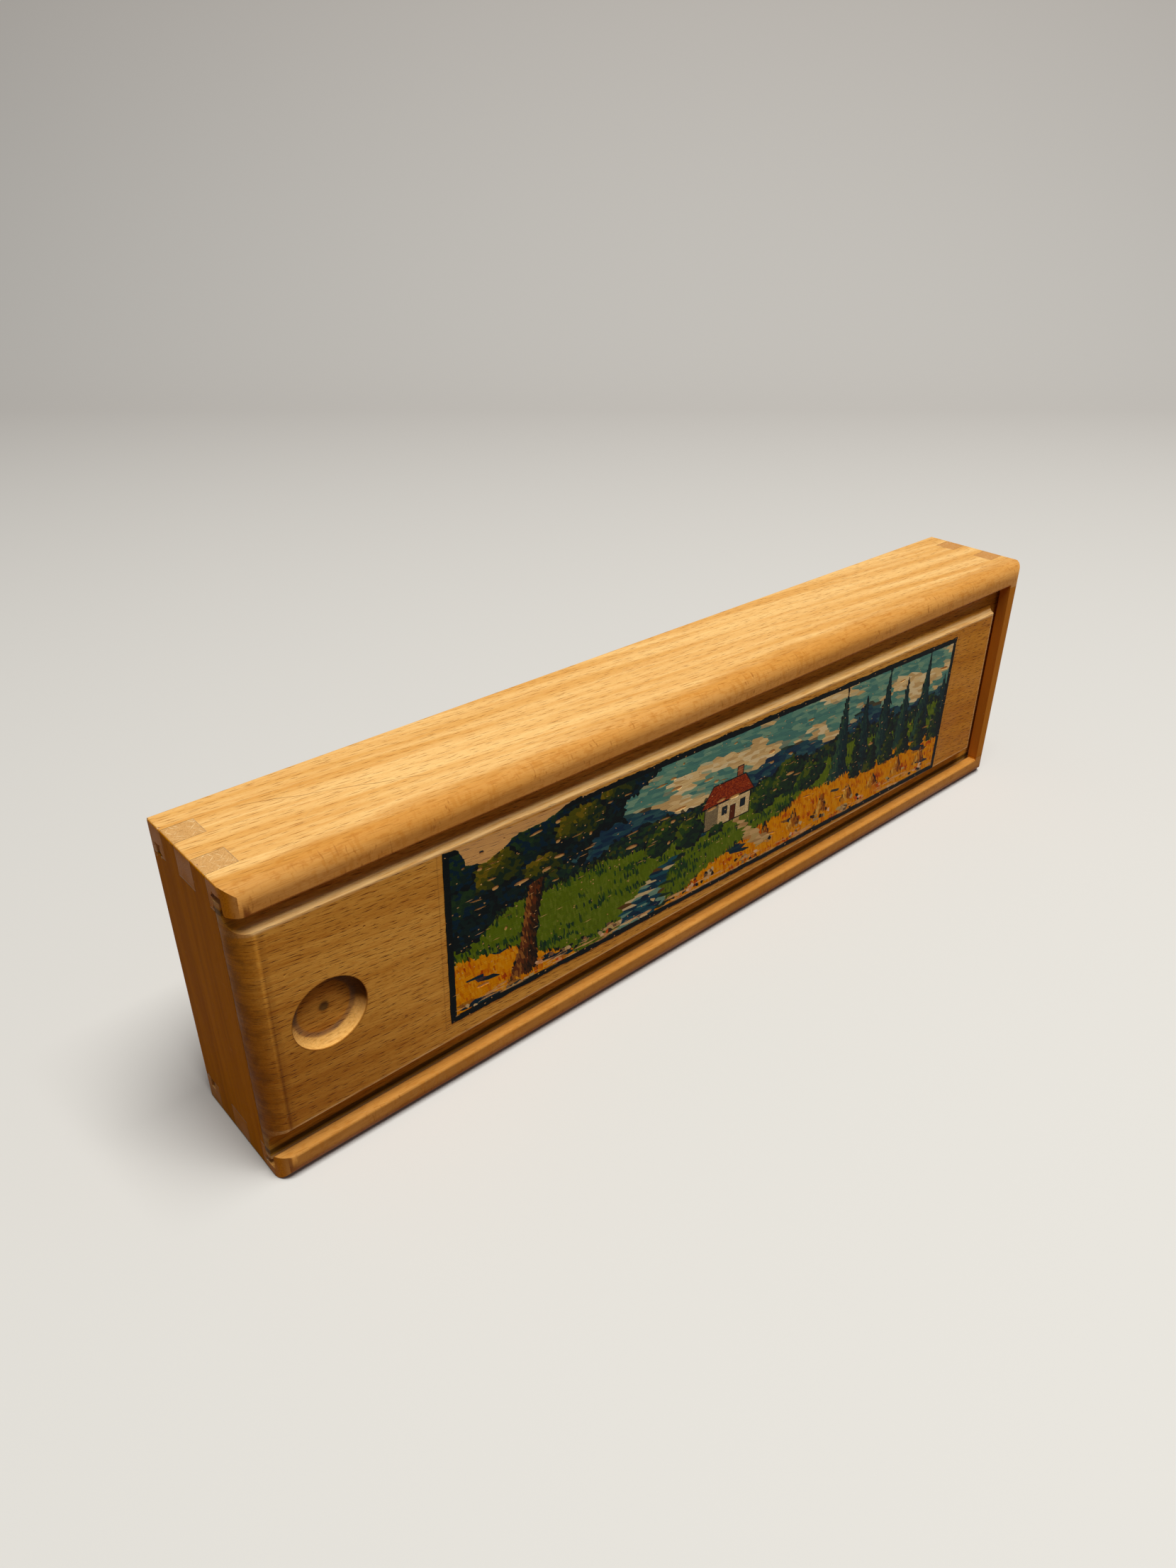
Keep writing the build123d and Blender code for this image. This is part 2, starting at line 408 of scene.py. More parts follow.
nick_corners = 42
ends = (case_low.x, case_high.x)
heights = (case_low.z, case_high.z)
front = case_low.y
back = case_high.y
rubbed_runs = [((end, front + side_wall, height), (end, back, height)) for end in ends for height in heights]
rubbed_runs += [((end, back, case_low.z), (end, back, case_high.z)) for end in ends]
rubbed_runs += [((case_low.x, back, height), (case_high.x, back, height)) for height in heights]
chipped_runs = []
for inward, height in ((1, case_low.z), (-1, case_high.z)):
    mouth = height + inward * side_wall
    floor_of_groove = height + inward * (side_wall - base_groove_depth)
    slot_end = height + inward * (side_wall - lid_groove_depth)
    for end in ends:
        chipped_runs.append(((end, base_front, mouth), (end, base_front, floor_of_groove)))
        chipped_runs.append(((end, base_front, floor_of_groove), (end, base_back, floor_of_groove)))
        chipped_runs.append(((end, base_back, floor_of_groove), (end, base_back, mouth + inward)))
    chipped_runs.append(((case_low.x, lid_back, slot_end), (case_low.x, lid_back, mouth)))
rubbed_nicks = grown(nick_tree, edge_runs("rubbed_edges", rubbed_runs), "rubbed_nicks",
                     {"Spacing": 4.0 * MM, "Smallest": 0.12 * MM, "Largest": 0.42 * MM, "Seed": 11,
                      "Raw wood": raw_material})
chipped_nicks = grown(nick_tree, edge_runs("chipped_edges", chipped_runs), "chipped_nicks",
                      {"Spacing": 1.0 * MM, "Smallest": 0.2 * MM, "Largest": 0.62 * MM, "Seed": 9,
                       "Raw wood": raw_material})


def rid_of_bubbles(piece):
    """Drop the nicks that lie wholly inside the wood."""
    shape = bmesh.new()
    shape.from_mesh(piece.data)
    to_visit = set(shape.verts)
    bubbles = []
    while to_visit:
        reached = [to_visit.pop()]
        for corner in reached:
            for edge in corner.link_edges:
                beyond = edge.other_vert(corner)
                if beyond in to_visit:
                    to_visit.remove(beyond)
                    reached.append(beyond)
        if len(reached) <= nick_corners:
            bubbles += reached
    bmesh.ops.delete(shape, geom=bubbles, context="VERTS")
    shape.to_mesh(piece.data)
    shape.free()
    return piece


def worn(piece, *cutters):
    """Cut the nicks out of a piece, so that raw wood shows in them."""
    for cutter in cutters:
        cut = piece.modifiers.new("worn", "BOOLEAN")
        cut.operation = "DIFFERENCE"
        cut.solver = "EXACT"
        cut.use_self = True
        cut.material_mode = "TRANSFER"
        cut.object = cutter
    return rid_of_bubbles(settled(piece))


side_tones = {"light": paint(252, 206, 133), "dark": paint(233, 175, 95), "streak": 0.35,
              "streak_dark": paint(238, 214, 184), "fibre": 0.5, "fibre_dark": paint(232, 206, 172),
              "ray_cell": (3.8, 0.9, 1), "ray_size": (2.0, 0.1), "ray_share": 0.9, "ray": 0.75, "pore": 0.35,
              "ray_dark": paint(158, 92, 30)}
side_material, side_tree = start_finish("side_wall_beech")
colour, relief = beech(side_tree, (1, -0.1, 0), (0.1, 1, 0), (0, 0, 1), side_tones, (0, 0, 0))
x, y, z, spot = place_on(side_tree)
from_middle = abs(z - middle)

# The varnish has gone amber along the front, where hands hold the case.
ragged = (clouded(spot, (9, 3, 3), 3.0) - 0.5) * 5.0
handled = between(y + ragged, front + 1.6, front + 6.0, 1.0, 0.0)
colour = tinted(colour, paint(214, 146, 62), handled, 0.75)
blotches = between(clouded(spot, (1.8, 0.9, 0.9), 3.0, 0.6), 0.52, 0.66)
colour = tinted(colour, paint(190, 116, 36), handled, blotches, 0.4)
on_lip = between(facing(side_tree, (0, -1, 0)), 0.25, 0.6)
fine_lines = between(clouded(spot, (6, 0.18, 0.18), 2.0, 0.7), 0.48, 0.7)
colour = tinted(colour, paint(160, 96, 34), handled, fine_lines, 0.35)
cross_marks = between(clouded(spot, (0.5, 8, 1.5), 1.0), 0.6, 0.76)
in_groups = between(clouded(spot, (9, 9, 9), 2.0), 0.42, 0.6)
colour = tinted(colour, paint(150, 84, 22), cross_marks, on_lip, in_groups, 0.6)

# Both lips are greyed by fingers near the open end.
near_opening = between(x, case_low.x + 4, case_low.x + 75, 1.0, 0.0)
below_middle = between(z, middle - 5, middle, 1.0, 0.0)
greyed = both(handled, either(near_opening, below_middle), between(below_middle, 0.0, 1.0, 0.25, 1.0),
              between(clouded(spot, (11, 4, 4), 3.0), 0.25, 0.6, 0.5, 1.0))
greyed = both(greyed, between(x, case_high.x - 80, case_high.x, 0.48, 0.25))
colour = tinted(colour, paint(172, 114, 42), greyed)
smudges = between(clouded(spot, (1.1, 5, 3.0), 2.0, 0.6), 0.53, 0.62)
smudges = both(smudges, on_lip, between(clouded(spot, (16, 9, 9), 1.0), 0.42, 0.56))
colour = tinted(colour, paint(196, 126, 44), smudges, 0.4)

# A drying crack follows the grain over the open end of the top.
crack_from = -101.0
crack_to = -66.0
crack_y = 9.3
crack_slope = -0.41
crack_half_width = 0.03
wander = (clouded(spot, (5, 50, 50)) - 0.5) * 1.4
crack_line = sums("MULTIPLY_ADD", x - crack_from, crack_slope, crack_y)
off_crack = y - crack_line - wander
cracked = both(close_to(off_crack, 0.0, crack_half_width, 0.08),
               close_to(x, (crack_from + crack_to) / 2, (crack_to - crack_from) / 2 - 4, 4.0),
               between(z, case_high.z - 1, case_high.z - 0.5),
               between(clouded(spot, (3, 3, 3)), 0.3, 0.5, 0.35, 1.0))
colour = tinted(colour, paint(140, 82, 28), cracked, 0.7)
relief = relief - cracked

# Fine scratches, and the darker end grain where the boards end between the combs' fingers.
flat = joint_vector(x, y, 0.0)
on_top = between(abs(facing(side_tree, (0, 0, 1))), 0.9, 0.98)
for turn, cell in ((24, (14, 6, 1)), (-38, (10, 7, 1))):
    marks = both(scratches(flat, turn, cell, 0.35), on_top)
    colour = tinted(colour, paint(255, 224, 168), marks, 0.25)
    relief = relief - marks * 0.4
end_grain = between(abs(facing(side_tree, (1, 0, 0))), 0.55, 0.85)
pith = between(clouded(spot, (0.25, 0.25, 0.25), 3.0), 0.35, 0.7)
end_colour = tinted(paint(222, 146, 26), paint(198, 122, 12), pith)
colour = tinted(colour, end_colour, end_grain)

# Inside the case the wood was never varnished, and pencils have greyed it.
raw = both(between(from_middle, middle - side_wall + 0.1, middle - side_wall + 0.3, 1.0, 0.0),
           between(y, lid_back - 0.2, lid_back + 0.2))
smudge = between(clouded(spot, (14, 5, 5), 4.0, 0.6), 0.45, 0.75)
raw_colour = tinted(paint(222, 184, 134), paint(132, 118, 104), smudge, 0.45)
colour = tinted(colour, raw_colour, raw, 0.85)
gloss = between(clouded(spot, (20, 6, 6), 3.0), 0.3, 0.7, 0.42, 0.58)
varnished(side_tree, colour, relief, gloss, 0.05, 0.05 * MM)

for node in ("upper_side_wall", "lower_side_wall"):
    wall = joined_copy(node, node + "_board")
    wall.data.materials.append(side_material)
    wall.data.materials.append(raw_material)
    wall = evenly_shaded(worn(wall, rubbed_nicks, chipped_nicks))
    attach(wall, "case")
    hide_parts(node)


# End walls: two short beech boards with their grain upright, combed into the side walls.
# The open one is lower by the lid's thickness, so that the lid slides out over it. The
# fingers end in squares of end grain on both side walls, worn grey and scratched.

first_finger = 6.8
finger_width = 5.2
finger_gap = 5.9
finger_fronts = [front + first_finger + row * (finger_width + finger_gap) for row in range(2)]
seam_half_width = 0.05
seam_fade = 0.09
middle_x = (case_low.x + case_high.x) / 2

end_tones = {"light": paint(228, 150, 10), "dark": paint(208, 132, 4), "streak": 0.4,
             "streak_dark": paint(232, 206, 176), "fibre": 0.35, "fibre_dark": paint(230, 206, 176),
             "ray_cell": (4.0, 1.2, 1), "ray_size": (1.6, 0.1), "ray_share": 0.5, "ray": 0.2, "pore": 0.15,
             "ray_dark": paint(120, 68, 24)}
end_material, end_tree = start_finish("end_wall_beech")
colour, relief = beech(end_tree, (0, 0.03, 1), (0, 1, -0.03), (1, 0, 0), end_tones, (37, 11, 5))
x, y, z, spot = place_on(end_tree)
from_middle = abs(z - middle)

# The fingers' end grain on the two side walls: paler, greyed and criss-crossed with scratches.
on_top = between(abs(facing(end_tree, (0, 0, 1))), 0.6, 0.9)
past_walls = between(from_middle, middle - 0.6, middle - 0.3)
square = both(on_top, past_walls)
grain_dots = between(clouded(spot, (0.2, 0.2, 4), 2.0), 0.35, 0.7)
square_colour = tinted(paint(222, 172, 108), paint(200, 150, 90), grain_dots)
flat = joint_vector(x, y, 0.0)
for turn, shade in ((35, paint(250, 222, 170)), (-42, paint(250, 218, 164)), (12, paint(164, 116, 64)),
                    (66, paint(250, 220, 166))):
    marks = scratches(flat, turn, (3.5, 0.7, 1), 0.85, 0.09)
    square_colour = tinted(square_colour, shade, marks, 0.8)
colour = tinted(colour, square_colour, square)
far_end = between(x, middle_x, case_high.x)
colour = tinted(colour, paint(196, 128, 60), far_end, 0.5)

# The glue lines round the fingers and down the corners show as thin dark seams.
in_finger_row = either(*(close_to(y, row + finger_width / 2, finger_width / 2, 0.01)
                         for row in finger_fronts))
past_body = between(from_middle, middle - side_wall - 0.01, middle - side_wall)
finger_sides = either(*(close_to(y, edge, seam_half_width, seam_fade)
                        for row in finger_fronts for edge in (row, row + finger_width)))
shoulder = close_to(from_middle, middle - side_wall, seam_half_width, seam_fade)
outward = abs(x)
back_of_square = close_to(outward, case_high.x - end_wall, seam_half_width, seam_fade)
seams = either(both(shoulder, 1.0 - in_finger_row), both(finger_sides, past_body),
               both(back_of_square, square))
patchy = between(clouded(spot, (2, 2, 2), 2.0), 0.3, 0.6, 0.35, 1.0)
seams = both(seams, patchy)
colour = tinted(colour, paint(64, 34, 12), seams, 0.75)
relief = relief - seams * 1.5

# Knocks and long scratches from the desk, and bare greyed wood towards the inside.
flat = joint_vector(y, z, 0.0)
for turn, cell in ((8, (9, 5, 1)), (80, (12, 4, 1))):
    marks = scratches(flat, turn, cell, 0.4)
    colour = tinted(colour, paint(246, 196, 122), marks, 0.4)
dents = between(clouded(spot, (1.1, 1.1, 1.1), 1.0), 0.74, 0.8)
colour = tinted(colour, paint(236, 190, 128), dents, 0.5)
raw = both(between(outward, case_high.x - end_wall - 0.1, case_high.x - end_wall + 0.2, 1.0, 0.0),
           between(y, lid_back, lid_back + 0.3))
colour = tinted(colour, paint(216, 178, 130), raw, 0.85)
varnished(end_tree, colour, relief, 0.6, 0.02, 0.03 * MM)

for node in ("open_end_wall", "closed_end_wall"):
    wall = joined_copy(node, node + "_board")
    wall.data.materials.append(end_material)
    wall.data.materials.append(raw_material)
    wall = evenly_shaded(worn(wall, rubbed_nicks, chipped_nicks))
    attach(wall, "case")
    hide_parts(node)
for cutter in (rubbed_nicks, chipped_nicks):
    bpy.data.objects.remove(cutter)


# Base panel and dividers: the panel is a thin sheet let into grooves of all four walls, and the
# dividers are two bare strips let into the walls and each other. They keep their plain shapes.
# Ink, graphite and pencil points have marked them.

base_tones = {"light": paint(242, 204, 150), "dark": paint(230, 188, 132), "streak": 0.5,
              "streak_dark": paint(226, 204, 176), "fibre": 0.5, "fibre_dark": paint(222, 198, 168),
              "ray_cell": (3.6, 1.0, 1), "ray_size": (1.6, 0.11), "ray_share": 0.9, "ray": 0.6, "pore": 0.3,
              "ray_dark": paint(132, 86, 44)}
divider_tones = dict(base_tones, light=paint(232, 192, 140), dark=paint(220, 176, 122))
for name, tones, across, deep, nodes in (
        ("base_panel_beech", base_tones, (0, 0, 1), (0, 1, 0), ("base_panel",)),
        ("divider_beech", divider_tones, (0, 1, 0), (0, 0, 1), ("lengthwise_divider", "cross_divider"))):
    material, tree = start_finish(name)
    colour, relief = beech(tree, (1, 0, 0), across, deep, tones, (60, 9, 2))
    spot = place_on(tree)[3]
    inside = between(measured(tree, (0, 1, 0)), base_front + 0.2, base_front + 0.6, 1.0, 0.0)
    graphite = between(clouded(spot, (18, 5, 5), 4.0, 0.6), 0.46, 0.78)
    colour = tinted(colour, paint(118, 108, 100), graphite, inside, 0.5)
    ink = between(clouded(spot, (4, 4, 4), 2.0, 0.4), 0.745, 0.76)
    colour = tinted(colour, paint(62, 62, 92), ink, inside, 0.6)
    marks, lot = dashes(joint_vector(measured(tree, (1, 0, 0)), measured(tree, across), 0.0), (11, 5, 1),
                        (5.0, 0.15), 0.5)
    colour = tinted(colour, paint(84, 76, 70), marks, lot, 0.6)
    relief = relief - marks * 0.5
    varnished(tree, colour, relief, 0.65, 0.2, 0.03 * MM)
    for node in nodes:
        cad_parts[node].data.materials.clear()
        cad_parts[node].data.materials.append(material)


# Sliding lid: one beech board with a coved rabbet on three sides, which leaves a raised field and
# a thin tongue for the grooves. Its free end is rounded over, and a thumb recess is drilled in it.
# Its varnish is rubbed pale along the ridges and dark dirt lies in the coves. Painted light and
# shade lie on the ridges, the free end's turn, the groove gaps, the thumb recess and the corner below it.

lid_low, lid_high = (Vector(corner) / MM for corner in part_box("sliding_lid"))
print_low, print_high = (Vector(corner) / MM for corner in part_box("lid_transfer"))
field_front = lid_low.y
side_cove = 10.4
end_cove = 10.2
lip_height = 5.3
field_half = middle - case_low.z - side_cove
field_end = case_high.x - end_cove
lip_edge = middle - lip_height
ridge_rise = 0.2
ridge_slope = -0.0125
nose_radius = 4.0
thumb_radius = 7.0
thumb_x = case_low.x + 13.6
print_tilt = math.radians(1.4)
print_lift = 0.45
print_along = (math.cos(print_tilt), 0, -math.sin(print_tilt))
print_up = (math.sin(print_tilt), 0, math.cos(print_tilt))
print_length = 156.0
print_height = 37.1
print_middle = (print_low + print_high) / 2 + Vector((0, 0, print_lift))

lid_tones = {"light": paint(242, 183, 84), "dark": paint(222, 159, 64), "streak": 0.45,
             "streak_dark": paint(228, 202, 172), "fibre": 0.8, "fibre_dark": paint(214, 184, 146),
             "ray_cell": (3.3, 0.72, 1), "ray_size": (1.9, 0.1), "ray_share": 0.95, "ray": 1.0, "pore": 0.5,
             "ray_dark": paint(108, 46, 8)}
grain_slope = 0.087
lid_grain = ((1, 0, -grain_slope), (grain_slope, 0, 1), (0, 1, 0))
lid_material, lid_tree = start_finish("lid_beech")
colour, relief = beech(lid_tree, *lid_grain, lid_tones, (11, 3, 7))
x, y, z, spot = place_on(lid_tree)
above_middle = z - sums("MULTIPLY_ADD", x, ridge_slope, ridge_rise + middle)
from_middle = either(above_middle, middle - z)
on_face = close_to(y, field_front, 0.15, 0.2)


def print_place(tree):
    """Where a place lies on the picture, in millimetres along and up from its middle."""
    place = vectors("SUBTRACT", place_on(tree)[3], print_middle)
    return vectors("DOT_PRODUCT", place, print_along), vectors("DOT_PRODUCT", place, print_up)


# Under the print the wood stayed paler. Its clear carrier reaches a little past the ink.
carrier_margin = 1.1
u, v = print_place(lid_tree)
past_print = either(abs(u) - print_length / 2, abs(v) - print_height / 2)
pale = both(between(past_print, -0.3, 0.0, 1.0, 0.0), on_face)
colour = tinted(colour, paint(255, 216, 160), pale, 0.35)
carrier = both(between(past_print, carrier_margin, carrier_margin + 0.15, 1.0, 0.0), on_face)
carrier_edge = both(close_to(past_print, carrier_margin, 0.05, 0.15), on_face)
colour = tinted(colour, paint(196, 132, 58), carrier, 0.12)
colour = tinted(colour, paint(120, 70, 26), carrier_edge, 0.22)

# The rounded free end took up more varnish. The grain runs on over it as fine dark lines.
nose_start = lid_low.x + nose_radius
on_nose = between(x, lid_low.x + 0.6, nose_start + 0.4, 1.0, 0.0)
grain_lines = between(clouded(spot, (30, 30, 0.22), 3.0, 0.7), 0.42, 0.62)
colour = tinted(colour, paint(204, 132, 16), on_nose, 0.65)
colour = tinted(colour, paint(112, 62, 20), on_nose, grain_lines, 0.25)
blotches = between(clouded(spot, (2.4, 2.4, 2.0), 4.0, 0.65), 0.44, 0.66)
colour = tinted(colour, paint(120, 78, 30), on_nose, blotches, 0.5)
# Painted shade: a faint dark line where the flat face turns into the rounded end.
painted_turn_shade = both(close_to(x, nose_start, 0.2, 0.9), on_face)
colour = tinted(colour, paint(128, 72, 24), painted_turn_shade, 0.22)

# The corner below the thumb recess is darker: browned by hands, and partly painted shade.
toward_corner = sums("MULTIPLY_ADD", z - middle, 0.9, x)
patina_and_shade = between(toward_corner, case_low.x - 8, case_low.x + 30, 0.7, 0.0)
colour = tinted(colour, paint(190, 164, 120), patina_and_shade, way="MULTIPLY")

# Towards the closed end, where the lid is seldom touched, the varnish lies thicker and browner.
thicker = between(x, case_high.x - 60, case_high.x - 15, 0.0, 0.75)
colour = tinted(colour, paint(238, 214, 150), thicker, way="MULTIPLY")

# Thumb recess: painted light on the lower part of its wall, painted shade on the upper part and a painted
# shadow of the upper rim; a grey ring of dirt at the foot of its wall, and the drill point's dark mark.
from_thumb = vectors("DISTANCE", joint_vector(x, 0.0, z), (thumb_x, 0.0, middle))
in_recess = both(between(from_thumb, thumb_radius, thumb_radius + 0.15, 1.0, 0.0),
                 between(y, field_front + 0.1, field_front + 0.4))
on_wall = both(in_recess, between(from_thumb, thumb_radius - 1.3, thumb_radius - 0.9))
# Painted light: the lower part of the recess wall, which faces the lamp, is painted bright gold.
painted_light_low_wall = both(on_wall, between(z, middle - 2.0, middle - 0.6, 1.0, 0.0),
                between(clouded(spot, (1.6, 0.4, 0.4), 3.0, 0.6), 0.3, 0.6, 0.5, 1.0))
colour = tinted(colour, paint(252, 200, 116), painted_light_low_wall, 0.8)
# Painted shade: the upper part of the recess wall, which faces away from the lamp, is painted dark.
painted_shade_high_wall = both(in_recess, between(from_thumb, thumb_radius - 2.2, thumb_radius - 1.4),
                 between(z, middle - 1.8, middle - 0.2),
                 between(clouded(spot, (1.2, 0.6, 0.6), 3.0, 0.6), 0.25, 0.55, 0.6, 1.0))
colour = tinted(colour, paint(66, 50, 28), painted_shade_high_wall, 0.85)
dirt_ring = both(close_to(from_thumb, thumb_radius - 1.55, 0.2, 0.55), in_recess,
                 between(clouded(spot, (2.5, 2.5, 2.5), 3.0), 0.3, 0.7, 0.5, 1.0))
colour = tinted(colour, paint(138, 118, 98), dirt_ring, 0.75)
# Painted shadow: the upper rim's shadow over the upper side of the recess is painted dark brown.
painted_rim_shadow = both(in_recess, between(sums("MULTIPLY_ADD", x, 0.45, z), middle - 45, middle - 38.5),
             between(from_thumb, 2.0, thumb_radius))
colour = tinted(colour, paint(80, 44, 12), painted_rim_shadow, 0.85)
drill_mark = between(from_thumb, 0.6, 1.3, 0.85, 0.0)
colour = tinted(colour, paint(76, 56, 34), drill_mark)
rim = close_to(from_thumb, thumb_radius, 0.06, 0.14)
colour = tinted(colour, paint(120, 66, 20), rim, on_face, 0.5)

# The ridges are rubbed pale with a painted highlight, old dirt lies in the coves below them, and painted
# shadow in the groove gap.
ridge = either(both(close_to(from_middle, field_half, 0.35, 0.5),
                    between(x, field_end + 0.3, field_end + 0.8, 1.0, 0.0)),
               both(close_to(x, field_end, 0.35, 0.5),
                    between(from_middle, field_half + 0.3, field_half + 0.8, 1.0, 0.0)))
# The ridges' rubbed varnish, painted paler still as a highlight where they face the lamp.
rubbed = both(ridge, between(clouded(spot, (7, 0.3, 0.3), 3.0), 0.3, 0.6, 0.3, 1.0), 1.0 - on_nose * 0.8)
colour = tinted(colour, paint(255, 216, 152), rubbed, 0.7)
in_cove = between(y, field_front + 0.5, field_front + 2.4)
dirty = either(between(from_middle, field_half + 0.6, field_half + 2.4),
               between(x, field_end + 0.6, field_end + 2.4))
dirt = both(in_cove, dirty, between(clouded(spot, (12, 2, 1.5), 3.0), 0.3, 0.65, 0.4, 1))
colour = tinted(colour, paint(216, 164, 62), dirt, 0.7)
cove_streaks = between(clouded(spot, (5, 0.22, 0.22), 2.0, 0.65), 0.46, 0.7)
colour = tinted(colour, paint(112, 72, 30), in_cove, cove_streaks, 0.42)
to_groove = abs(z - middle)
# Painted shadow: a dark line where the lid's tongue goes into the groove behind the lip.
painted_groove_shadow = both(in_cove, close_to(to_groove, lip_edge, 0.35, 0.4))
colour = tinted(colour, paint(50, 32, 14), painted_groove_shadow, 0.7)
in_groove = both(in_cove, between(to_groove, lip_edge + 0.8, lip_edge + 1.1))
colour = tinted(colour, paint(226, 180, 118), in_groove, 0.7)

# Dents and scratches in the open field, and the bare wood of the lid's inner side.
flat = joint_vector(x, z, 0.0)
for turn, cell in ((33, (9, 8, 1)), (-58, (7, 9, 1))):
    marks = both(scratches(flat, turn, cell, 0.3), on_face)
    colour = tinted(colour, paint(250, 206, 140), marks, 0.3)
    relief = relief - marks * 0.6
dents = both(between(clouded(spot, (1.3, 1.3, 1.3), 1.0), 0.76, 0.84), on_face)
colour = tinted(colour, paint(140, 84, 34), dents, 0.5)
relief = relief - dents * 1.5
inner_side = between(facing(lid_tree, (0, 1, 0)), 0.6, 0.9)
smudge = between(clouded(spot, (16, 5, 6), 4.0, 0.6), 0.45, 0.78)
inner_colour = tinted(paint(226, 186, 134), paint(140, 122, 104), smudge, 0.4)
colour = tinted(colour, inner_colour, inner_side, 0.8)
gloss = between(clouded(spot, (14, 6, 6), 3.0), 0.3, 0.7, 0.42, 0.56)
varnished(lid_tree, colour, relief, gloss, 0.05, 0.08 * MM)

# The upper cove was planed a little out of line, so its ridge runs up towards the open end.
lid = joined_copy("sliding_lid", "sliding_lid_board")
for corner in lid.data.vertices:
    if middle + thumb_radius < corner.co.z / MM < lid_high.z - 0.1:
        corner.co.z += ridge_rise * MM + ridge_slope * corner.co.x
lid.data.materials.append(lid_material)
lid = evenly_shaded(lid)
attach(lid, "lid")
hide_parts("sliding_lid")


# Printed picture: a thin transfer laid on the lid's field a little askew. Its outline is nibbled,
# a patch is worn out of its upper corner and small flakes have come off along the grain. The
# picture is a country view in flat inks with a black border.

film_thickness = print_high.y - print_low.y
print_border = 1.3

wear_tree, given = new_tree("worn_print", {"Step": "Float", "Flake spacing": "Float",
                                           "Flake length": "Float", "Flake width": "Float",
                                           "Film thickness": "Float", "Seed": "Int", "Print": "Material"})
outline = add(wear_tree, "GeometryNodeMeshToCurve", {"Mesh": given["Shape"]})
outline = add(wear_tree, "GeometryNodeResampleCurve", {"Curve": outline.outputs[0], "Length": given["Step"]},
              mode="LENGTH")
wear = add(wear_tree, "GeometryNodeInputNamedAttribute", {"Name": "wear"}, data_type="FLOAT")
coarse, middling, fine = (vectors("MULTIPLY", jitter(wear_tree, changes, 1.0), (strength, strength, 0))
                          for changes, strength in ((0.22, 2.4), (0.9, 1.2), (3.0, 0.5)))
nibble = vectors("ADD", vectors("ADD", coarse, middling), fine)
outline = shifted(wear_tree, outline.outputs[0], scaled_vector(nibble, wear.outputs[0]))


def graded(value, low, high, to_low=0.0):
    """Goes evenly from to_low to 1 while the value goes from low to high."""
    inputs = {"Value": value, "From Min": low, "From Max": high, "To Min": to_low}
    return Reading(add(tree_of(value), "MapRange", inputs).outputs[0])


def joined(tree, *shapes):
    """Several shapes as one."""
    whole = add(tree, "GeometryNodeJoinGeometry")
    for shape in shapes:
        tree.links.new(shape, whole.inputs[0])
    return whole.outputs[0]


# Flakes lie in a band along the grain, most of them towards the patch.
sheet = add(wear_tree, "GeometryNodeMeshGrid", {"Size X": (print_length - 7) * MM,
                                                "Size Y": (print_height - 5) * MM,
                                                "Vertices X": 60, "Vertices Y": 16})
ground = parts_of(add(wear_tree, "GeometryNodeInputPosition").outputs[0])
high_up = graded(ground[1], -6 * MM, 9 * MM)
to_left = graded(ground[0], 70 * MM, -70 * MM, 0.12)
clusters = add(wear_tree, "TexNoise", {"Scale": 0.09 / MM, "Detail": 1.0})
clusters = graded(clusters.outputs["Fac"], 0.42, 0.62)
spots = add(wear_tree, "GeometryNodeDistributePointsOnFaces",
            {"Mesh": sheet.outputs[0], "Distance Min": given["Flake spacing"], "Density Max": 0.35 / MM / MM,
             "Density Factor": high_up * to_left * clusters + 0.03, "Seed": given["Seed"]},
            distribute_method="POISSON")
ring = add(wear_tree, "GeometryNodeCurvePrimitiveCircle", {"Resolution": 14, "Radius": 1.0})
most = joint_vector(given["Flake length"], given["Flake width"], MM)
flake_size = random_vector(wear_tree, (0.3 * MM, 0.09 * MM, MM), most, given["Seed"])
lean = random_vector(wear_tree, (0, 0, math.radians(-10)), (0, 0, math.radians(4)), given["Seed"])
flakes = scattered(wear_tree, spots.outputs[0], ring.outputs[0], lean, flake_size)
jag = vectors("MULTIPLY", jitter(wear_tree, 2.6, 1.0), (0.5 * MM, 0.35 * MM, 0))
curves = joined(wear_tree, shifted(wear_tree, flakes, jag), outline)
film = add(wear_tree, "GeometryNodeFillCurve", {0: curves}, mode="TRIANGLES").outputs[0]
lift = joint_vector(0, 0, given["Film thickness"])
raised = add(wear_tree, "GeometryNodeExtrudeMesh", {"Mesh": film, "Offset": lift, "Offset Scale": 1.0,
                                                    "Individual": False}, mode="FACES")
under = add(wear_tree, "GeometryNodeFlipFaces", {"Mesh": film})
solid = joined(wear_tree, under.outputs[0], raised.outputs[0])
solid = add(wear_tree, "GeometryNodeMergeByDistance", {0: solid, "Distance": 0.001 * MM})
solid = add(wear_tree, "GeometryNodeRealizeInstances", {0: solid.outputs[0]})
made_of(wear_tree, solid.outputs[0], given["Print"])

# Corners of the print, with how hard its edge is nibbled from each one on to the next.
left = -print_length / 2
right = print_length / 2
low = -print_height / 2
high = print_height / 2
patch_start = left + 3.2
patch_length = 33.0
patch_depth = 5.2
patch_edge = [(patch_start + patch_length * along, high - patch_depth * down)
              for along, down in ((0.0, 0.15), (0.04, 0.85), (0.18, 1.05), (0.3, 0.8), (0.36, 0.5),
                                  (0.6, 0.42), (0.72, 0.12), (1.0, 0.03))]
corners = [((left, high), 0.1), ((left, low), 0.25), ((right, low), 0.06), ((right, high), 0.2),
           (patch_edge[-1], 0.5)]
patch_wear = 0.62
outline_mesh = bpy.data.meshes.new("print_outline")
places = corners + [(place, patch_wear) for place in patch_edge[-2::-1]]
outline_mesh.from_pydata([(along * MM, up * MM, 0) for (along, up), amount in places],
                         [(spot, (spot + 1) % len(places)) for spot in range(len(places))], [])
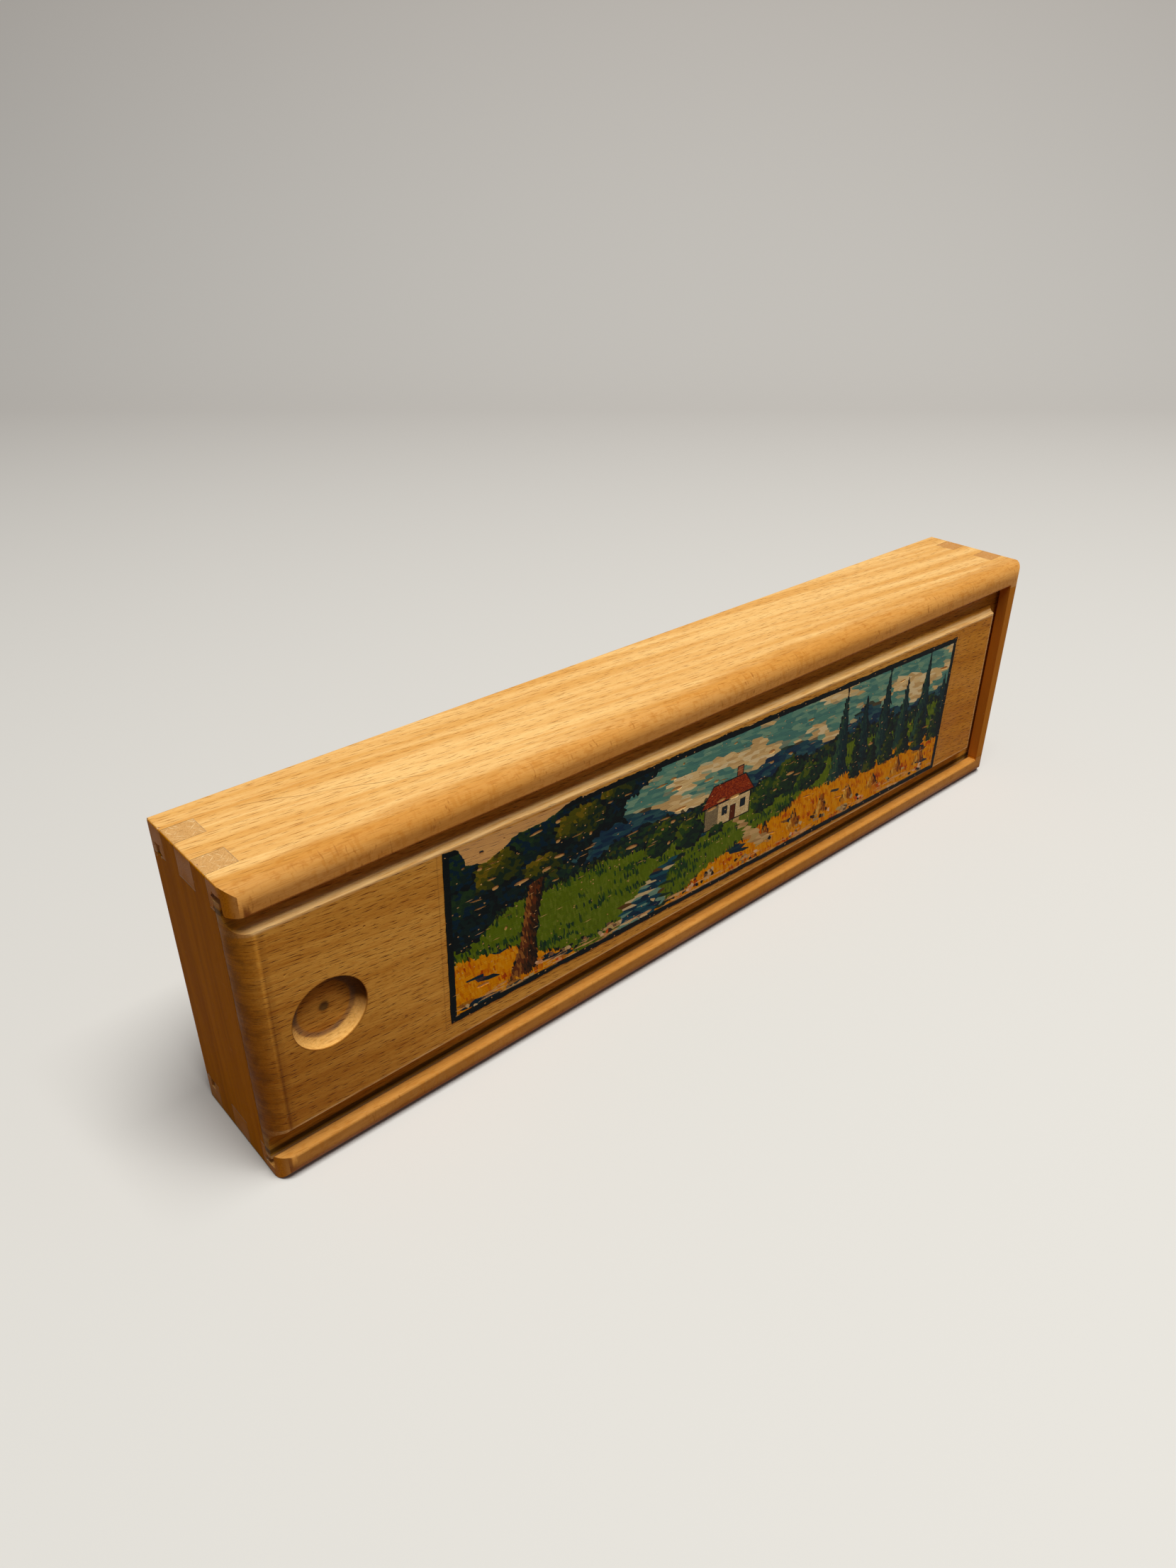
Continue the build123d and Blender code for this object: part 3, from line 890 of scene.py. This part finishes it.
wear_here = outline_mesh.attributes.new("wear", "FLOAT", "POINT")
wear_here.data.foreach_set("value", [amount * MM for place, amount in places])

print_material, print_tree = start_finish("printed_inks")
u, v = print_place(print_tree)
u = u + print_length / 2
v = v + print_height / 2
canvas = joint_vector(u, v, 0.0)
key_black = paint(8, 14, 16)


def dabbed(flat, cell, turn):
    """The picture's places gathered into small brush dabs: each dab's centre, along and up, and its lot."""
    spread = vectors("DIVIDE", turned(flat, turn), cell)
    dab = add(print_tree, "TexVoronoi", {"Vector": spread, "Scale": 1.0}, voronoi_dimensions="2D")
    centre = turned(vectors("MULTIPLY", dab.outputs["Position"], cell), -turn)
    lot = parts_of(dab.outputs["Color"], "SeparateColor")[0]
    return (centre, *parts_of(centre)[:2], lot)


brush, brush_u, brush_v, brush_lot = dabbed(canvas, (2.6, 0.7, 1), 6)
leaf, leaf_u, leaf_v, leaf_lot = dabbed(canvas, (0.95, 0.7, 1), 28)
blade, blade_u, blade_v, blade_lot = dabbed(canvas, (0.34, 1.1, 1), -14)
grit_lot = dabbed(canvas, (0.3, 0.22, 1), 0)[3]
crown_raggedness = 0.55


def inks(lot, *colours):
    """Flat inks side by side, in screen colours: the lot, from 0 to 1, picks one of them."""
    colours = [paint(*colour) for colour in colours]
    ramp = add(print_tree, "ValToRGB", {0: lot})
    ramp.color_ramp.interpolation = "CONSTANT"
    stops = ramp.color_ramp.elements
    stops[0].position = 0.0
    stops[0].color = colours[0]
    stops[1].position = 1.0
    stops[1].color = colours[-1]
    for place, colour in enumerate(colours[1:], start=1):
        stop = stops.new(place / len(colours))
        stop.color = colour
    return ramp.outputs[0]


def inside_edge(past, fade=0.08):
    """1 where a place lies inside an edge, given how far past the edge it is."""
    return between(past, -fade, fade, 1.0, 0.0)


def below(v, height):
    """1 where a place lies lower on the picture than an edge."""
    return inside_edge(v - height)


def within(value, low, high):
    """1 between two marks, 0 outside them."""
    return close_to(value, (low + high) / 2, (high - low) / 2, 0.06)


def skyline(u, low, rise, width, start):
    """The height of a hill's edge at each place along the picture."""
    lumps = clouded(joint_vector(u, start, 0.0), (width, 1, 1), 3.0, 0.5)
    return sums("MULTIPLY_ADD", lumps, rise, low)


def outlined(picture, v, height, width=0.16):
    """The dark line that the key plate draws along an edge."""
    line = close_to(v - height, 0.0, width, 0.1)
    return tinted(picture, key_black, line, 0.9)


def crown(picture, centre, reach, colours):
    """A leafy crown or bush: a ragged mass of leaf dabs, outlined, lit from the upper left."""
    off_u = (leaf_u - centre[0]) / reach[0]
    off_v = (leaf_v - centre[1]) / reach[1]
    away = vectors("LENGTH", joint_vector(off_u, off_v, 0.0))
    lumps = clouded(leaf, (5.0, 4.0, 1), 3.0, 0.6)
    away = sums("MULTIPLY_ADD", lumps - 0.5, 2 * crown_raggedness, away)
    picture = tinted(picture, key_black, between(away, 1.05, 1.08, 1.0, 0.0))
    turned_up = off_v + lumps - off_u
    shade = sums("MULTIPLY_ADD", leaf_lot, 0.5, between(turned_up, 0.1, 1.3, 0.0, 0.5))
    return tinted(picture, inks(shade, *colours), between(away, 0.97, 1.0, 1.0, 0.0))


def spires(picture, u, v, lot, colours, ends, foot, tall, apart, half_base, tiers=1.0, flare=0.0):
    """A row of pointed shapes such as firs or haycocks: uneven heights, stepped sides, outlined."""
    step = u / apart
    lot_here = add(print_tree, "TexWhiteNoise", {"W": sums("FLOOR", step)}, noise_dimensions="1D")
    off = sums("FRACT", step) - 0.5
    high_here = between(lot_here.outputs[0], 0.0, 1.0, 0.62 * tall, tall)
    climb = (v - foot) / high_here
    tier = sums("FRACT", climb * tiers)
    half = (1.0 - climb) * (half_base - tier * flare)
    past = abs(off) - half
    standing = both(between(climb, -0.03, 0.0), within(u, *ends))
    rim = 0.25 / apart
    picture = tinted(picture, key_black, between(past, rim, 1.4 * rim, 1.0, 0.0), standing)
    lit = between(off, -0.5 * half_base, 0.5 * half_base, 0.5, 0.0)
    shade = sums("MULTIPLY_ADD", lot, 0.5, lit)
    return tinted(picture, inks(shade, *colours), between(past, -0.01, 0.01, 1.0, 0.0), standing)


def block(picture, u_marks, v_marks, colour, outline=0.0):
    """A straight-sided shape such as a wall or a window, with a dark outline where one is asked for."""
    if outline:
        around_u = within(u, u_marks[0] - outline, u_marks[1] + outline)
        around_v = within(v, v_marks[0] - outline, v_marks[1] + outline)
        picture = tinted(picture, key_black, around_u, around_v)
    return tinted(picture, colour, within(u, *u_marks), within(v, *v_marks))


# Sky with cream clouds, over a range of far blue hills and a nearer wooded one.
picture = inks(brush_lot, (92, 148, 132), (112, 162, 140), (84, 138, 128), (134, 176, 146))
cloud_bank = clouded(brush, (15, 5.5, 1), 4.0, 0.55)
cloud_bank = cloud_bank + between(brush_v, 18.0, 36.0, 0.12, -0.07)
cloud_ink = inks(brush_lot, (240, 206, 138), (250, 220, 154), (224, 188, 124), (254, 232, 176))
picture = tinted(picture, cloud_ink, between(cloud_bank, 0.5, 0.53))
far_edge = skyline(brush_u, low=16.0, rise=21.0, width=26.0, start=3.7)
hill_ink = inks(brush_lot, (36, 76, 88), (28, 60, 80), (54, 94, 98), (20, 46, 72))
picture = tinted(picture, hill_ink, below(brush_v, far_edge))
picture = outlined(picture, brush_v, far_edge, 0.12)
near_edge = skyline(leaf_u, low=13.0, rise=19.0, width=17.0, start=9.1)
wood_ink = inks(leaf_lot, (14, 30, 30), (24, 46, 34), (18, 38, 34), (32, 60, 34), (64, 72, 22))
picture = tinted(picture, wood_ink, below(leaf_v, near_edge))
picture = outlined(picture, leaf_v, near_edge)

# Meadow in one flat green, with bands of dark tussocks that follow the slope.
meadow_edge = skyline(blade_u, low=11.0, rise=17.0, width=30.0, start=5.2)
meadow_ink = inks(blade_lot, (96, 118, 14), (100, 122, 20), (92, 112, 12), (98, 120, 18), (112, 130, 34))
picture = tinted(picture, meadow_ink, below(blade_v, meadow_edge))
picture = outlined(picture, blade_v, meadow_edge, 0.14)
tussocks = clouded(blade, (17, 2.2, 1), 3.0, 0.6)
tussock = both(between(tussocks, 0.55, 0.57), below(blade_v, meadow_edge - 0.8))
tussock_ink = inks(blade_lot, (34, 66, 24), (20, 46, 30), (44, 78, 24), (84, 108, 16), (28, 56, 26))
picture = tinted(picture, tussock_ink, tussock)

# A stream that widens towards the viewer, with light on its ripples and dark banks.
bend = clouded(joint_vector(brush_v, 7.7, 0.0), (7, 1, 1), 1.0)
stream_middle = sums("MULTIPLY_ADD", bend, 16.0, sums("MULTIPLY_ADD", brush_v, 1.5, 33.0))
stream_half = between(brush_v, 0.0, 18.0, 7.0, 0.8)
past_water = abs(brush_u - stream_middle) - stream_half
bank = both(inside_edge(past_water - 0.7), below(brush_v, 18.6))
picture = tinted(picture, inks(brush_lot, (20, 36, 28), (96, 66, 28), (30, 50, 26)), bank)
stream_ink = inks(brush_lot, (14, 50, 70), (30, 84, 96), (8, 38, 60), (120, 160, 140), (22, 66, 84),
                  (226, 204, 150))
picture = tinted(picture, stream_ink, inside_edge(past_water), below(brush_v, 18.0))

# A ripe field in the right foreground, with blue shadows lying over it, and a sunny bank on the left.
field_rise = sums("MINIMUM", (blade_u - 44.0) * 0.22, 12.0)
bank_rise = between(blade_u, 6.0, 40.0, 12.5, -1.0)
field_edge = either(field_rise, bank_rise) + skyline(blade_u, low=-3.0, rise=6.0, width=8.0, start=1.3)
ripe = both(below(blade_v, field_edge), inside_edge(0.8 - past_water))
picture = tinted(picture, key_black, below(blade_v, field_edge + 0.3), inside_edge(0.6 - past_water))
ripe_ink = inks(blade_lot, (244, 156, 4), (246, 160, 8), (240, 150, 2), (248, 170, 30), (226, 128, 4))
picture = tinted(picture, ripe_ink, ripe)
burnt = both(ripe, between(clouded(blade, (9, 1.4, 1), 3.0), 0.58, 0.6))
picture = tinted(picture, inks(blade_lot, (214, 96, 8), (186, 72, 10), (232, 132, 14)), burnt)
across_field = sums("MULTIPLY_ADD", brush_v, 1.4, brush_u)
shadows = clouded(joint_vector(across_field, brush_v, 2.6), (8, 6, 1), 2.0, 0.5)
shadow_ink = inks(brush_lot, (6, 36, 58), (14, 33, 42), (24, 56, 60), (8, 44, 52))
picture = tinted(picture, shadow_ink, ripe, between(shadows, 0.6, 0.62))
haycock_inks = ((120, 60, 16), (176, 100, 24), (214, 140, 40), (244, 190, 84))
picture = spires(picture, blade_u, blade_v, blade_lot, haycock_inks, ends=(84, 152), foot=4.6, tall=5.4,
                 apart=10.2, half_base=0.24)

# A path leads up to a cottage among bushes.
path_middle = sums("MULTIPLY_ADD", brush_v, -1.1, 92.0)
path_half = between(brush_v, 3.0, 16.0, 2.8, 0.6)
on_path = both(inside_edge(abs(brush_u - path_middle) - path_half), within(brush_v, 4.5, 16.6))
picture = tinted(picture, inks(brush_lot, (226, 190, 128), (209, 176, 112), (190, 150, 94)), on_path)
wall_left = 66.0
wall_right = 80.0
wall_foot = 15.4
wall_top = 21.0
roof_ridge = 25.4
eaves = 1.1
slope = (v - wall_top) * 0.7
past_roof = either(slope + (wall_left - eaves) - u, slope + u - (wall_right + eaves))
roof_line = both(inside_edge(past_roof - 0.3), within(v, wall_top - 0.4, roof_ridge + 0.3))
roof = both(inside_edge(past_roof), within(v, wall_top, roof_ridge))
lit_wall = inks(grit_lot, (236, 208, 150), (226, 196, 138), (246, 224, 170))
dim_wall = inks(grit_lot, (150, 134, 98), (134, 118, 88))
roof_ink = inks(grit_lot, (150, 52, 22), (126, 38, 18), (178, 74, 32))
chimney_ink = inks(grit_lot, (190, 112, 70), (150, 76, 44))
picture = block(picture, (75.4, 77.0), (roof_ridge - 1.4, roof_ridge + 2.4), chimney_ink, 0.25)
picture = block(picture, (wall_left, wall_right), (wall_foot, wall_top), lit_wall, 0.3)
picture = block(picture, (wall_left, wall_left + 4.0), (wall_foot, wall_top), dim_wall)
for pane in (71.4, 77.2):
    picture = block(picture, (pane, pane + 1.3), (wall_foot + 2.2, wall_foot + 3.9), paint(30, 40, 46), 0.18)
picture = block(picture, (74.0, 75.4), (wall_foot, wall_foot + 3.4), paint(96, 40, 18), 0.18)
picture = tinted(picture, key_black, roof_line)
picture = tinted(picture, roof_ink, roof)
bush_inks = ((14, 32, 26), (24, 48, 28), (40, 68, 24), (84, 98, 22))
for centre, reach in (((61, 17), (4.4, 3.4)), ((85.5, 17.5), (4.6, 3.8)), ((93, 19.5), (5.4, 4.6)),
                      ((53, 18.5), (4.8, 3.6)), ((70, 14.6), (2.2, 1.3)), ((101, 17), (4.6, 3.4))):
    picture = crown(picture, centre, reach, bush_inks)

# A dark stand of firs on the right, in two rows.
far_fir_inks = ((10, 28, 34), (16, 42, 46), (28, 58, 52), (52, 84, 56))
near_fir_inks = ((8, 18, 20), (14, 32, 26), (30, 50, 24), (74, 82, 22))
picture = spires(picture, blade_u, blade_v, blade_lot, far_fir_inks, ends=(108, 158), foot=12.5, tall=23.0,
                 apart=8.3, half_base=0.5, tiers=5.0, flare=0.16)
picture = spires(picture, leaf_u + 2.6, leaf_v, leaf_lot, near_fir_inks, ends=(120, 160), foot=10.0,
                 tall=16.0, apart=6.9, half_base=0.5, tiers=4.0, flare=0.18)

# A great tree frames the left side: a leaning trunk under a dark crown with sunlit leaves.
trunk_middle = sums("MULTIPLY_ADD", blade_v, 0.16, 16.5)
trunk_half = between(blade_v, 2.0, 12.0, 3.2, 1.7)
off_trunk = blade_u - trunk_middle
past_trunk = abs(off_trunk) - trunk_half
above_ground = between(blade_v, 2.6, 3.0)
picture = tinted(picture, key_black, inside_edge(past_trunk - 0.3), above_ground)
bark_lot = sums("MULTIPLY_ADD", blade_lot, 0.5, between(off_trunk, -1.6, 1.6, 0.5, 0.0))
bark = inks(bark_lot, (36, 20, 10), (70, 40, 18), (103, 52, 24), (158, 100, 44))
picture = tinted(picture, bark, inside_edge(past_trunk), above_ground)
shade_inks = ((8, 18, 20), (14, 32, 30), (6, 34, 50), (24, 46, 30), (34, 58, 30))
sunlit_inks = ((22, 40, 26), (56, 62, 18), (84, 84, 16), (120, 104, 20))
for centre, reach, colours in (((8, 33), (17, 13), shade_inks), ((27, 34), (15, 10), shade_inks),
                               ((42, 38), (10, 6), shade_inks), ((4, 22), (7, 6), shade_inks),
                               ((12, 29), (5.5, 3.6), sunlit_inks), ((31, 31.5), (6.5, 3.4), sunlit_inks),
                               ((22, 25.5), (4.6, 2.4), sunlit_inks),
                               ((41, 35.5), (4.4, 2.4), sunlit_inks)):
    picture = crown(picture, centre, reach, colours)

# Stones and blossom along the bottom, in cream, pink and rust.
stone_ink = inks(leaf_lot, (120, 92, 64), (190, 154, 102), (226, 196, 142), (209, 182, 117))
blossom_ink = inks(leaf_lot, (240, 170, 110), (214, 90, 30), (250, 206, 160))
for start, height, ink in ((2.2, 4.2, blossom_ink), (8.8, 5.0, stone_ink)):
    drift = clouded(joint_vector(leaf_u, leaf_v, start), (6.0, 2.0, 1), 3.0, 0.6)
    patch = between(drift, 0.605, 0.62)
    picture = tinted(picture, key_black, between(drift, 0.59, 0.6), below(leaf_v, height))
    picture = tinted(picture, ink, patch, below(leaf_v, height))

# The black border, and what age has done: rubbed ink, scratches along the grain and a worn lower edge.
edge_u = sums("MINIMUM", u, print_length - u)
edge_v = sums("MINIMUM", v, print_height - v)
shaky = clouded(canvas, (1.5, 1.5, 1), 2.0) - 0.5
to_edge = sums("MULTIPLY_ADD", shaky, 0.3, sums("MINIMUM", edge_u, edge_v))
picture = tinted(picture, key_black, between(to_edge, print_border - 0.05, print_border + 0.05, 1.0, 0.0))
grain = clouded(canvas, (0.16, 0.12, 1), 2.0, 0.7)
picture = tinted(picture, key_black, between(grain, 0.35, 0.75, 0.0, 0.22))
along_grain = joint_vector(sums("MULTIPLY_ADD", v, 0.09, u), v, 0.0)
rubs = dashes(along_grain, (5.0, 1.6, 1), (1.6, 0.12), 0.14)[0]
specks = sums("GREATER_THAN", grit_lot, 0.993)
low_wear = clouded(along_grain, (7, 0.8, 1), 4.0, 0.65)
low_limit = skyline(u, low=0.6, rise=5.0, width=12.0, start=4.4)
worn_low = both(below(v, low_limit), between(low_wear, 0.53, 0.57), between(to_edge, 0.9, 1.4))
lost_ink = either(rubs * 0.7, specks * 0.8, worn_low * 0.85)
wood_grain = clouded(along_grain, (4, 0.25, 1), 2.0, 0.6)
bare_wood = tinted(paint(246, 198, 134), paint(214, 156, 92), between(wood_grain, 0.35, 0.65))
open_grain = dashes(along_grain, lid_tones["ray_cell"], lid_tones["ray_size"], lid_tones["ray_share"])[0]
picture = tinted(picture, bare_wood, lost_ink)
film_relief = sums("MULTIPLY_ADD", grain, 0.2, 1.0 - either(open_grain, lost_ink))
varnished(print_tree, picture, film_relief, 0.5, 0.04, 0.05 * MM)

printed = grown(wear_tree, outline_mesh, "worn_print",
                {"Step": 0.3 * MM, "Flake spacing": 2.2 * MM, "Flake length": 1.9 * MM,
                 "Flake width": 0.48 * MM, "Film thickness": film_thickness * MM, "Seed": 6,
                 "Print": print_material})
stand = Matrix(((print_along[0], print_up[0], 0, 0), (0, 0, -1, 0),
                (print_along[2], print_up[2], 0, 0), (0, 0, 0, 1)))
lay = Matrix.Translation(Vector((print_middle.x, print_high.y, print_middle.z)) * MM)
printed.data.transform(lay @ stand)
printed = evenly_shaded(printed)
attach(printed, "lid")
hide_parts("lid_transfer")


# Table, lamps and camera: a pale sweep under one broad lamp overhead and a dim even room.
# The sweep is pale to the eye and in reflections, and throws the warm light of a wooden desk.

near = -1.2
far = 0.55
bend_radius = 0.35
half_width = 1.6
sweep_steps = 16
sweep_height = 1.8
sweep_turn = math.radians(-41.3)
rows = [(near, 0.0)]
for step in range(sweep_steps + 1):
    turn = math.radians(90 * step / sweep_steps)
    rows.append((far + bend_radius * math.sin(turn), bend_radius - bend_radius * math.cos(turn)))
rows.append((far + bend_radius, sweep_height))
sweep = bmesh.new()
rings = [[sweep.verts.new((side, y_here, z_here)) for side in (-half_width, half_width)]
         for y_here, z_here in rows]
for low_ring, high_ring in zip(rings, rings[1:]):
    sweep.faces.new((low_ring[0], low_ring[1], high_ring[1], high_ring[0]))
sweep.transform(Matrix.Rotation(sweep_turn, 4, "Z"))
floor_mesh = bpy.data.meshes.new("floor")
sweep.to_mesh(floor_mesh)
sweep.free()
floor_mesh.shade_smooth()
floor = bpy.data.objects.new("floor", floor_mesh)
bpy.context.scene.collection.objects.link(floor)
floor_material, floor_tree = start_finish("pale_floor")
path = add(floor_tree, "LightPath")
seen = either(path.outputs["Is Camera Ray"], path.outputs["Is Glossy Ray"],
              path.outputs["Is Transmission Ray"])
floor_colour = tinted(paint(112, 66, 32), paint(226, 225, 221), seen)
floor_shader = add(floor_tree, "BsdfDiffuse", {"Color": floor_colour})
add(floor_tree, "OutputMaterial", {"Surface": floor_shader.outputs[0]})
floor.data.materials.append(floor_material)

lamp_way = Vector((0.02, -0.26, 0.965))
lamp_distance = 1.3
lamp_side = 0.62
room_light = 0.12
light = bpy.data.lights.new("ceiling_lamp", "AREA")
light.shape = "RECTANGLE"
light.size = lamp_side
light.size_y = lamp_side
light.energy = 17.0
light.color = (1.0, 0.985, 0.95)
lamp = bpy.data.objects.new("ceiling_lamp", light)
lamp.location = lamp_way * lamp_distance
lamp.rotation_euler = (-lamp_way).to_track_quat("-Z", "Y").to_euler()
bpy.context.scene.collection.objects.link(lamp)
world = bpy.data.worlds.new("room")
world.use_nodes = True
world.node_tree.nodes["Background"].inputs["Color"].default_value = (0.95, 0.97, 1.0, 1)
world.node_tree.nodes["Background"].inputs["Strength"].default_value = room_light
bpy.context.scene.world = world
bpy.context.scene.view_settings.view_transform = "Standard"

eye = Vector((-0.15588, -0.14539, 0.15520))
sight = Vector((0.57083, 0.64827, -0.50389))
focal_pixels = 1555.66
photo_height = 2212
sensor = 36.0
camera_data = bpy.data.cameras.new("camera")
camera_data.sensor_fit = "VERTICAL"
camera_data.sensor_height = sensor
camera_data.lens = sensor * focal_pixels / photo_height
camera_data.clip_start = 0.01
camera = bpy.data.objects.new("camera", camera_data)
camera.location = eye
camera.rotation_euler = sight.to_track_quat("-Z", "Y").to_euler()
bpy.context.scene.collection.objects.link(camera)
bpy.context.scene.camera = camera

bpy.context.view_layer.update()
